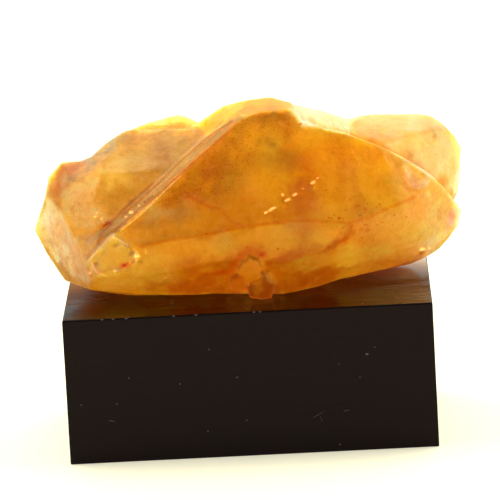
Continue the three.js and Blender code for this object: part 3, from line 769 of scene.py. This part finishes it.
# %% Fields and layers
DUSTY_FIELD = [
    (243, 114), (300, 116), (296, 130), (262, 135), (245, 180), (225, 196), (160, 205), (150, 206),
    (180, 175), (210, 149)]
SPECKLED_FIELD = [(335, 198), (395, 196), (418, 215), (400, 235), (350, 245), (330, 225)]
MATT_FLANK, DUST_BEHIND, GRAINS_BEHIND = 0.8, 0.7, 0.8
dusty = inside(DUSTY_FIELD, 6) * shown
specked = inside(SPECKLED_FIELD, 10) * shown
dusty = np.maximum(dusty, hidden * smoothstep(0.1, 0.5, -drift) * DUST_BEHIND)
specked = np.maximum(specked, hidden * smoothstep(0.0, 0.4, drift) * GRAINS_BEHIND)
matt = np.maximum(MATT_FLANK * striated, walls)
layers = {
    "tint": tint, "milk": milk, "matt": matt, "walls": walls, "calm": calm, "striated": striated,
    "ribbed": ribbed, "dusty": dusty, "specked": specked, "bright": bright, "dark": dark,
    "crease_shade": crease_shade, "rusty": rusty, "hidden": hidden}


def keep_layer(mesh, name, values):
    """Stores one value, or one colour, for each vertex under that name."""
    if values.ndim == 1:
        mesh.attributes.new(name, "FLOAT", "POINT").data.foreach_set("value", values.astype(np.float32))
    else:
        rgba = np.concatenate([values, np.ones((len(values), 1))], axis=1).astype(np.float32)
        mesh.attributes.new(name, "FLOAT_COLOR", "POINT").data.foreach_set("color", rgba.ravel())


for name, values in layers.items():
    keep_layer(even, name, values)
print("layers:", ", ".join(layers))

# %% [markdown]
# ## The relief: swells, cleavage steps, striae and ribs
#
# A real cleavage face isn't flat. It swells a little, breaks off in low steps, and
# has grain. The flank has its striae and the right crystal its ribs. These lines
# and bumps repeat over the whole surface, so Geometry Nodes make them: each kind
# is a height in millimetres, the heights are added up, and every vertex moves
# outward by the sum. A bump in the material would cost less, but it would leave
# the outline smooth and the mesh bare. The sizes are inputs of the tree.
# The real striae are too fine to show, so they are drawn 0.75 mm apart.

# %% Relief tree
relief = bpy.data.node_groups.new("CleavageRelief", "GeometryNodeTree")
relief.is_modifier = True
relief.interface.new_socket("Geometry", in_out="OUTPUT", socket_type="NodeSocketGeometry")
relief.interface.new_socket("Geometry", in_out="INPUT", socket_type="NodeSocketGeometry")
# in mm
RELIEF = {
    "Swell Width": 8.0, "Swell Height": 0.22, "Step Spacing": 1.9, "Step Height": 0.14,
    "Line Spacing": 0.75, "Line Height": 0.16, "Rib Spacing": 1.1, "Rib Height": 0.04,
    "Grain Width": 0.9, "Grain Height": 0.05}
DRIFTS_PER_MM, BROKEN_PER_MM = 0.2, 0.11
CHIP_HEIGHT = 0.125
ACROSS_STEPS, ACROSS_STRIAE, ACROSS_RIBS = (0.4, -0.3, 0.87), (0.24, -0.965, 0.1), (0.0, 0.88, 0.47)
for name, value in RELIEF.items():
    relief.interface.new_socket(name, in_out="INPUT", socket_type="NodeSocketFloat").default_value = value
relief.interface.new_socket("Material", in_out="INPUT", socket_type="NodeSocketMaterial")
given = add_node(relief, "NodeGroupInput")
place = add_node(relief, "GeometryNodeInputPosition")
in_mm = add_node(relief, "ShaderNodeVectorMath", {
    0: place.outputs[0], "Scale": 1 / MM}, operation="SCALE").outputs[0]


def bumps(width, height, **settings):
    """Soft noise of that width in mm, and of that height in mm from lowest to highest."""
    per_mm = add_node(relief, "ShaderNodeMath", {0: 1.0, 1: given.outputs[width]}, operation="DIVIDE")
    wave = add_node(relief, "ShaderNodeTexNoise", {"Vector": in_mm, "Scale": per_mm.outputs[0], **settings})
    middle = add_node(relief, "ShaderNodeMath", {0: wave.outputs[0], 1: 0.5}, operation="SUBTRACT")
    return add_node(relief, "ShaderNodeMath", {
        0: middle.outputs[0], 1: given.outputs[height]}, operation="MULTIPLY")


def lines(direction, spacing, height, bend, mask):
    """Uneven lines across a direction, drifting by the bend, of that size where the mask is 1."""
    along = add_node(relief, "ShaderNodeVectorMath", {0: in_mm, 1: direction}, operation="DOT_PRODUCT")
    turns = add_node(relief, "ShaderNodeMath", {
        0: along.outputs["Value"], 1: given.outputs[spacing]}, operation="DIVIDE")
    drift = add_node(relief, "ShaderNodeTexNoise", {
        "Vector": in_mm, "Scale": DRIFTS_PER_MM, "Detail": 2.0})
    bent = add_node(relief, "ShaderNodeMath", {
        0: drift.outputs[0], 1: bend, 2: turns.outputs[0]}, operation="MULTIPLY_ADD")
    wave = add_node(relief, "ShaderNodeTexNoise", {
        "W": bent.outputs[0], "Scale": 1.0, "Detail": 2.0}, noise_dimensions="1D")
    middle = add_node(relief, "ShaderNodeMath", {0: wave.outputs[0], 1: 0.5}, operation="SUBTRACT")
    high = add_node(relief, "ShaderNodeMath", {
        0: middle.outputs[0], 1: given.outputs[height]}, operation="MULTIPLY")
    return add_node(relief, "ShaderNodeMath", {0: high.outputs[0], 1: mask}, operation="MULTIPLY")


# %% Heights added up
flank = add_node(relief, "GeometryNodeInputNamedAttribute", {
    "Name": "striated"}, data_type="FLOAT").outputs[0]
growth = add_node(relief, "GeometryNodeInputNamedAttribute", {
    "Name": "ribbed"}, data_type="FLOAT").outputs[0]
patches = add_node(relief, "ShaderNodeTexNoise", {
    "Vector": in_mm, "Scale": BROKEN_PER_MM, "Detail": 1.0})
broken = add_node(relief, "ShaderNodeMapRange", {
    "Value": patches.outputs[0], "From Min": 0.5, "From Max": 0.62})
heights = [
    bumps("Swell Width", "Swell Height", Detail=1.0),
    bumps("Grain Width", "Grain Height", Detail=3.0),
    lines(ACROSS_STEPS, "Step Spacing", "Step Height", bend=3.0, mask=broken.outputs[0]),
    lines(ACROSS_STRIAE, "Line Spacing", "Line Height", bend=1.0, mask=flank),
    lines(ACROSS_RIBS, "Rib Spacing", "Rib Height", bend=1.5, mask=growth),
]
chipped = add_node(relief, "GeometryNodeInputNamedAttribute", {
    "Name": "bright"}, data_type="FLOAT").outputs[0]
heights.append(add_node(relief, "ShaderNodeMath", {0: chipped, 1: CHIP_HEIGHT}, operation="MULTIPLY"))
total = heights[0].outputs[0]
for height in heights[1:]:
    total = add_node(relief, "ShaderNodeMath", {0: total, 1: height.outputs[0]}, operation="ADD").outputs[0]
outward = add_node(relief, "GeometryNodeInputNormal")
in_metres = add_node(relief, "ShaderNodeMath", {0: total, 1: MM}, operation="MULTIPLY")
push = add_node(relief, "ShaderNodeVectorMath", {
    0: outward.outputs[0], "Scale": in_metres.outputs[0]}, operation="SCALE")
moved = add_node(relief, "GeometryNodeSetPosition", {
    "Geometry": given.outputs["Geometry"], "Offset": push.outputs[0]})
whole = add_node(relief, "GeometryNodeRealizeInstances", {"Geometry": moved.outputs[0]})
painted = add_node(relief, "GeometryNodeSetMaterial", {
    "Geometry": whole.outputs[0], "Material": given.outputs["Material"]})
add_node(relief, "NodeGroupOutput", {0: painted.outputs[0]})
print("relief nodes:", len(relief.nodes), "heights added:", len(heights))

# %% [markdown]
# ## Carving the stone
#
# The tree is put on the stone as a modifier, its material input is set by the
# socket's identifier, and the evaluated result becomes a plain mesh. The modifier
# goes, so the stone's mesh is what the render shows.

# %% Carved stone
calcite = bpy.data.materials.new("HoneyCalcite")
shaping = stone.modifiers.new("Relief", "NODES")
shaping.node_group = relief
for item in relief.interface.items_tree:
    if item.in_out == "INPUT" and item.name == "Material":
        shaping[item.identifier] = calcite
carved = bpy.data.meshes.new_from_object(stone.evaluated_get(bpy.context.evaluated_depsgraph_get()))
stone.modifiers.clear()
stone.data = carved
print("carved faces:", len(carved.polygons), "attributes:", [a.name for a in carved.attributes])

# %% [markdown]
# ## Honey calcite: the body
#
# The material is calcite, a clear soft mineral, cleaved and unpolished. To the eye
# it is a warm glow with a waxy, broken skin. The painted tint is its body colour.
# Four sizes of cloud are multiplied over it, from drifts of 6 mm across to a grain
# of 0.3 mm, so that no face is one flat colour. They are fainter on the calm
# crystal at the right.

# %% Calcite body colour
calcite.use_nodes = True
tree = calcite.node_tree
tree.nodes.clear()
object_place = add_node(tree, "ShaderNodeTexCoord")
in_mm = add_node(tree, "ShaderNodeMapping", {
    "Vector": object_place.outputs["Object"], "Scale": (1 / MM,) * 3}).outputs[0]
painted_on = {}
for name in ["milk", "matt", "walls", "calm", "dusty", "specked", "bright", "dark", "crease_shade", "rusty",
             "hidden"]:
    painted_on[name] = add_node(tree, "ShaderNodeAttribute", attribute_name=name).outputs["Fac"]
colour = add_node(tree, "ShaderNodeAttribute", attribute_name="tint").outputs["Color"]
quiet = add_node(tree, "ShaderNodeMapRange", {"Value": painted_on["calm"], "To Min": 1.0, "To Max": 0.35})

# name: (bumps in a mm, detail, distortion, where the colour starts and is full, strength, colour)
CLOUDS = {
    "cream clouds": (0.16, 3.0, 0.6, 0.38, 0.66, 1.0, "#FFEED2"),
    "amber clouds": (0.3, 3.0, 1.0, 0.5, 0.68, 0.5, "#E6BC84"),
    "mottling": (0.8, 3.0, 0.4, 0.42, 0.68, 0.4, "#E2C088"),
    "fine grain": (3.2, 2.0, 0.0, 0.5, 0.72, 0.45, "#DCB888"),
}
for name, (per_mm, detail, distortion, low, high, strength, hex_colour) in CLOUDS.items():
    cloud = add_node(tree, "ShaderNodeTexNoise", {
        "Vector": in_mm, "Scale": per_mm, "Detail": detail, "Distortion": distortion}).outputs[0]
    share = add_node(tree, "ShaderNodeMapRange", {
        "Value": cloud, "From Min": low, "From Max": high, "To Max": strength}).outputs[0]
    share = add_node(tree, "ShaderNodeMath", {0: share, 1: quiet.outputs[0]}, operation="MULTIPLY").outputs[0]
    colour = add_node(tree, "ShaderNodeMix", {0: share, 6: colour, 7: linear(hex_colour)},
                      data_type="RGBA", blend_type="MULTIPLY").outputs[2]
fine_grain = cloud  # the last of the clouds is the fine grain
print("clouds multiplied over the tint:", ", ".join(CLOUDS))

# %% [markdown]
# ## Dots and fine marks in the material
#
# Dust and grains are dots of 0.05 to 0.16 mm radius, one at most in each cell of a
# random Voronoi pattern. Modelled grains would need very many faces, and dots in
# the material need none. The real dust is finer, but finer dots wouldn't show in
# the render. The painted chips, specks and creases are cut off within a narrow
# range of their values, with a ragged edge from the grain.


# %% Dots
def dots(per_mm, smallest, largest, mask, chance_at_most):
    """Round dots, at most one in each cell of a random grid, more of them where the mask is high."""
    cells = add_node(tree, "ShaderNodeTexVoronoi", {"Vector": in_mm, "Scale": per_mm})
    draw = add_node(tree, "ShaderNodeSeparateColor", {0: cells.outputs["Color"]})
    chance = add_node(tree, "ShaderNodeMath", {0: mask, 1: chance_at_most}, operation="MULTIPLY")
    taken = add_node(tree, "ShaderNodeMath", {
        0: chance.outputs[0], 1: draw.outputs[0]}, operation="GREATER_THAN")
    radius = add_node(tree, "ShaderNodeMapRange", {
        "Value": draw.outputs[1], "To Min": smallest * per_mm, "To Max": largest * per_mm})
    near = add_node(tree, "ShaderNodeMath", {
        0: radius.outputs[0], 1: cells.outputs["Distance"]}, operation="GREATER_THAN")
    return add_node(tree, "ShaderNodeMath", {
        0: near.outputs[0], 1: taken.outputs[0]}, operation="MULTIPLY").outputs[0]


# %% Fine marks and coats
ragged = add_node(tree, "ShaderNodeMapRange", {
    "Value": fine_grain, "From Min": 0.3, "From Max": 0.7, "To Min": -0.12, "To Max": 0.12})
# name: (where the mark starts, where it is full)
CUT_OFFS = {"bright": (0.5, 0.75), "dark": (0.5, 0.8), "rusty": (0.3, 0.9), "crease_shade": (0.3, 1.0)}
fine_marks = {}
for name, (low, high) in CUT_OFFS.items():
    rough_edge = add_node(tree, "ShaderNodeMath", {
        0: painted_on[name], 1: ragged.outputs[0]}, operation="ADD")
    fine_marks[name] = add_node(tree, "ShaderNodeMapRange", {
        "Value": rough_edge.outputs[0], "From Min": low, "From Max": high}).outputs[0]
coats = [
    (dots(1.9, 0.06, 0.15, painted_on["dusty"], 0.8), "#E0A468"),
    (dots(3.1, 0.05, 0.12, painted_on["dusty"], 1.2), "#E8B478"),
    (dots(1.3, 0.06, 0.16, painted_on["specked"], 0.6), "#F07030"),
    (fine_marks["rusty"], "#F06C30"),
    # painted shade along the creases
    (fine_marks["crease_shade"], "#F0B470"),
    (fine_marks["dark"], "#D46C28"),
]
for share, hex_colour in coats:
    colour = add_node(tree, "ShaderNodeMix", {0: share, 6: colour, 7: linear(hex_colour)},
                      data_type="RGBA", blend_type="MULTIPLY").outputs[2]
print("coats over the clouds:", len(coats))

# %% [markdown]
# ## How calcite meets the light
#
# Calcite's refractive index is 1.49 to 1.66. The real crystal has flaws all through
# it, which soften what it bends and mirrors, and this one has none inside. So its
# index is set lower than the real one, to 1.33, to match that soft look. Clear
# parts transmit, and the absorbing inside turns a long way through into deep
# orange. Milky parts scatter light under its skin, red farthest. Chips are tiny
# mirrors that catch the backdrop: a weak glow, a painted highlight, stands for that
# sparkle, and for the light trapped in the walls of the small crystals. The hidden
# sides get glowing chips at random, painted glints 0.1 to 0.34 mm in radius.

# %% Calcite surface
SPARKLE, WALL_GLOW = 0.65, 0.22
# painted glints: chips glow in place of their sparkle
back_chip_glints = dots(0.32, 0.1, 0.34, painted_on["hidden"], 0.3)
chip_glint = add_node(tree, "ShaderNodeMath", {
    0: fine_marks["bright"], 1: back_chip_glints}, operation="MAXIMUM").outputs[0]
rough = add_node(tree, "ShaderNodeMapRange", {"Value": painted_on["matt"], "To Min": 0.45, "To Max": 1.0})
see_through = add_node(tree, "ShaderNodeMapRange", {
    "Value": painted_on["milk"], "To Min": 0.85, "To Max": 0.03})
glint = add_node(tree, "ShaderNodeMath", {0: chip_glint, 1: SPARKLE}, operation="MULTIPLY")
glow = add_node(tree, "ShaderNodeMath", {
    0: painted_on["walls"], 1: WALL_GLOW, 2: glint.outputs[0]}, operation="MULTIPLY_ADD")
glow_colour = add_node(tree, "ShaderNodeMix", {
    0: chip_glint, 6: linear("#FF9838"), 7: linear("#FFDC80")}, data_type="RGBA")
grain = add_node(tree, "ShaderNodeTexNoise", {"Vector": in_mm, "Scale": 1.6, "Detail": 3.0})
pitted = add_node(tree, "ShaderNodeBump", {
    "Height": grain.outputs[0], "Strength": 0.5, "Distance": 0.1 * MM})
bsdf = add_node(tree, "ShaderNodeBsdfPrincipled", {
    "Base Color": colour, "Roughness": rough.outputs[0], "IOR": 1.33, "Normal": pitted.outputs[0],
    "Transmission Weight": see_through.outputs[0],
    "Specular Tint": linear("#FFE8B8"), "Specular IOR Level": 0.35,
    "Subsurface Weight": 1.0, "Subsurface Radius": (0.018, 0.010, 0.003), "Subsurface Scale": 1.0,
    "Emission Color": glow_colour.outputs[2], "Emission Strength": glow.outputs[0],
})
absorb = add_node(tree, "ShaderNodeVolumeAbsorption", {"Color": linear("#F6F000"), "Density": 110.0})
add_node(tree, "ShaderNodeOutputMaterial", {"Surface": bsdf.outputs[0], "Volume": absorb.outputs[0]})
print("calcite nodes:", len(tree.nodes))

# %% Stone in the frame
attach(stone, "root")
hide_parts("calcite")
print("stone stands for the CAD node calcite, on the body root")

# %% [markdown]
# ## The display block: black acrylic
#
# Such stands are sawn from black cast acrylic. The sides are left satin, almost
# black, with a faint brown cast and brush lines from the saw, and a thin gloss that
# mirrors the card. The block's CAD shape is right, so it stays and only gets a
# material. The nodes tell top from sides by height.

# %% Block sides
BLOCK_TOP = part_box("display_block")[1][2] / MM
BLOCK_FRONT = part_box("display_block")[0][1] / MM
black = bpy.data.materials.new("BlackAcrylic")
black.use_nodes = True
tree = black.node_tree
tree.nodes.clear()
object_place = add_node(tree, "ShaderNodeTexCoord")
in_mm = add_node(tree, "ShaderNodeMapping", {
    "Vector": object_place.outputs["Object"], "Scale": (1 / MM,) * 3}).outputs[0]
axes = add_node(tree, "ShaderNodeSeparateXYZ", {0: in_mm})
on_top = add_node(tree, "ShaderNodeMapRange", {
    "Value": axes.outputs["Z"], "From Min": BLOCK_TOP - 0.06, "From Max": BLOCK_TOP - 0.01}).outputs[0]
brushed = add_node(tree, "ShaderNodeMapping", {"Vector": in_mm, "Scale": (0.05, 0.05, 3.0)})
brush = add_node(tree, "ShaderNodeTexNoise", {
    "Vector": brushed.outputs[0], "Scale": 1.0, "Detail": 4.0, "Roughness": 0.7})
sawn = add_node(tree, "ShaderNodeMix", {
    0: brush.outputs[0], 6: linear("#150709"), 7: linear("#200E12")}, data_type="RGBA")
print("block top at", round(BLOCK_TOP, 1), "mm, front at", round(BLOCK_FRONT, 1), "mm")

# %% [markdown]
# ## The polished top
#
# The top mirrors the stone. It has slanting smears, as from a cloth, stronger
# towards the right and the back. They make the top rougher, and their lighter colour
# is a painted reflection. Both of its back corners are patched: a pale patch lies at
# the right, and a brown, duller patch at the left. Each corner's share is the
# product of two ramps, one along X and one along Y.

# %% Smeared top
wiped = add_node(tree, "ShaderNodeMapping", {
    "Vector": in_mm, "Rotation": (0, 0, math.radians(-55)), "Scale": (0.08, 0.5, 1.0)})
wipe_noise = add_node(tree, "ShaderNodeTexNoise", {
    "Vector": wiped.outputs[0], "Scale": 1.0, "Detail": 5.0, "Roughness": 0.65})
wipe = add_node(tree, "ShaderNodeMapRange", {
    "Value": wipe_noise.outputs[0], "From Min": 0.35, "From Max": 0.65})
far_side = add_node(tree, "ShaderNodeVectorMath", {
    0: in_mm, 1: (0.035, 0.02, 0.0)}, operation="DOT_PRODUCT")
smeared = add_node(tree, "ShaderNodeMapRange", {
    "Value": far_side.outputs["Value"], "From Min": 0.2, "From Max": 0.95})
smear_reflection = add_node(tree, "ShaderNodeMath", {0: wipe.outputs[0], 1: smeared.outputs[0]}, operation="MULTIPLY")
# painted reflection: the smears' lighter colour, where the top mirrors light
polished = add_node(tree, "ShaderNodeMix", {
    0: smear_reflection.outputs[0], 6: linear("#020100"), 7: linear("#6A5644")}, data_type="RGBA")

# %% Dirty corners
# name: (X where it starts and is full, Y where it starts and is full, in mm, colour)
CORNERS = {
    "pale patch at the right": (8.0, 26.0, -2.0, 12.0, "#DCC69C"),
    "brown patch at the left": (-18.0, -28.0, -12.0, 4.0, "#8C5A1C"),
}
for name, (x_start, x_full, y_start, y_full, hex_colour) in CORNERS.items():
    sideways = add_node(tree, "ShaderNodeMapRange", {
        "Value": axes.outputs["X"], "From Min": x_start, "From Max": x_full})
    backwards = add_node(tree, "ShaderNodeMapRange", {
        "Value": axes.outputs["Y"], "From Min": y_start, "From Max": y_full})
    corner = add_node(tree, "ShaderNodeMath", {
        0: sideways.outputs[0], 1: backwards.outputs[0]}, operation="MULTIPLY")
    polished = add_node(tree, "ShaderNodeMix", {
        0: corner.outputs[0], 6: polished.outputs[2], 7: linear(hex_colour)}, data_type="RGBA")
brown = corner  # the last of the corners is the brown one
body = add_node(tree, "ShaderNodeMix", {
    0: on_top, 6: sawn.outputs[2], 7: polished.outputs[2]}, data_type="RGBA").outputs[2]
print("corners:", ", ".join(CORNERS))

# %% [markdown]
# ## Lint, scratches and a nicked edge
#
# A black block shows every speck of lint. Random specks, about 0.1 mm in radius,
# lie on the top and on every side but the front. There, each speck, hair scratch
# and nick of the upper edge has its own place: a Mapping node squeezes space around
# it, so that a plain distance draws an oval.

# %% Lint
FRONT_SKIN = 0.1
LINT_CELLS_PER_MM, EMPTY_CELLS = 0.42, 0.72
lint_cells = add_node(tree, "ShaderNodeTexVoronoi", {"Vector": in_mm, "Scale": LINT_CELLS_PER_MM})
lint_pick = add_node(tree, "ShaderNodeSeparateColor", {0: lint_cells.outputs["Color"]})
lint_some = add_node(tree, "ShaderNodeMath", {
    0: lint_pick.outputs[0], 1: EMPTY_CELLS}, operation="GREATER_THAN")
lint_near = add_node(tree, "ShaderNodeMapRange", {
    "Value": lint_cells.outputs["Distance"], "From Min": 0.035, "From Max": 0.07,
    "To Min": 1.0, "To Max": 0.0})
off_front = add_node(tree, "ShaderNodeMath", {
    0: axes.outputs["Y"], 1: BLOCK_FRONT + FRONT_SKIN}, operation="GREATER_THAN")
lint = add_node(tree, "ShaderNodeMath", {
    0: lint_some.outputs[0], 1: lint_near.outputs[0]}, operation="MULTIPLY").outputs[0]
lint = add_node(tree, "ShaderNodeMath", {0: lint, 1: off_front.outputs[0]}, operation="MULTIPLY").outputs[0]
print("random lint on every side but the front")

# %% Marks of the front
# (X, Z, half its length, half its width, all in mm, turned by degrees, strength)
FRONT_MARKS = [
    (19.0, 16.0, 0.3, 0.22, 0, 0.95), (20.3, 17.1, 0.18, 0.16, 0, 0.47), (-2.2, 13.2, 0.22, 0.16, 0, 0.47),
    (17.7, 12.2, 0.18, 0.16, 0, 0.35), (-6.5, 18.1, 0.18, 0.14, 0, 0.41), (14.4, 14.6, 0.16, 0.14, 0, 0.35),
    (-11.5, 12.6, 0.2, 0.16, 0, 0.41), (-19.7, 14.0, 0.2, 0.16, 0, 0.41), (-21.9, 9.8, 0.2, 0.16, 0, 0.41),
    (-22.9, 7.0, 0.7, 0.12, 12, 0.35), (-1.0, 6.0, 0.18, 0.16, 0, 0.35), (-7.4, 4.5, 0.18, 0.16, 0, 0.35),
    (15.2, 6.8, 0.6, 0.12, -10, 0.35), (13.9, 1.2, 0.18, 0.16, 0, 0.41), (-27.7, 9.9, 0.18, 0.16, 0, 0.35),
    (10.6, 6.3, 1.3, 0.1, -26, 0.26), (11.1, 5.6, 0.7, 0.1, 66, 0.23),
]
NICK_HEIGHT = 23.9
# X: strength
NICKS = {-23.5: 0.53, -21.7: 0.47, -19.6: 0.53, -11.9: 0.47, -8.3: 0.53, 1.1: 0.53, 2.1: 0.47}
FRONT_MARKS += [(x, NICK_HEIGHT, 0.3, 0.15, 0, strength) for x, strength in NICKS.items()]
for x, z, half_length, half_width, turned_by, strength in FRONT_MARKS:
    centred = add_node(tree, "ShaderNodeMapping", {
        "Vector": in_mm, "Location": (x, BLOCK_FRONT, z), "Rotation": (0, math.radians(turned_by), 0),
        "Scale": (half_length, 0.2, half_width)}, vector_type="TEXTURE")
    away = add_node(tree, "ShaderNodeVectorMath", {0: centred.outputs[0]}, operation="LENGTH")
    mark = add_node(tree, "ShaderNodeMapRange", {
        "Value": away.outputs["Value"], "From Min": 1.0, "From Max": 0.6, "To Max": strength})
    lint = add_node(tree, "ShaderNodeMath", {0: lint, 1: mark.outputs[0]}, operation="MAXIMUM").outputs[0]
flecked = add_node(tree, "ShaderNodeMix", {
    0: lint, 6: body, 7: linear("#A89C94")}, data_type="RGBA").outputs[2]
print("marks on the front:", len(FRONT_MARKS))

# %% Acrylic surface
SATIN, DULLEST = 0.55, 3.0
dull = add_node(tree, "ShaderNodeMath", {
    0: brown.outputs[0], 1: 2.0, 2: wipe.outputs[0]}, operation="MULTIPLY_ADD")
top_rough = add_node(tree, "ShaderNodeMapRange", {
    "Value": dull.outputs[0], "From Max": DULLEST, "To Min": 0.06, "To Max": 0.66})
gloss = add_node(tree, "ShaderNodeMix", {
    0: on_top, 2: SATIN, 3: top_rough.outputs[0]}, data_type="FLOAT").outputs[0]
brush_height = add_node(tree, "ShaderNodeMix", {
    0: on_top, 2: brush.outputs[0], 3: wipe.outputs[0]}, data_type="FLOAT").outputs[0]
brush_bump = add_node(tree, "ShaderNodeBump", {
    "Height": brush_height, "Strength": 0.4, "Distance": 0.05 * MM})
coat_weight = add_node(tree, "ShaderNodeMapRange", {"Value": on_top, "To Min": 0.15, "To Max": 0.0})
acrylic = add_node(tree, "ShaderNodeBsdfPrincipled", {
    "Base Color": flecked, "Roughness": gloss, "Specular IOR Level": 0.05,
    "Coat Weight": coat_weight.outputs[0], "Coat Roughness": 0.3, "Coat IOR": 1.49,
    "Normal": brush_bump.outputs[0]})
add_node(tree, "ShaderNodeOutputMaterial", {"Surface": acrylic.outputs[0]})
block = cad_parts["display_block"]
for slot in block.material_slots:
    slot.material = black
print("acrylic nodes:", len(tree.nodes))
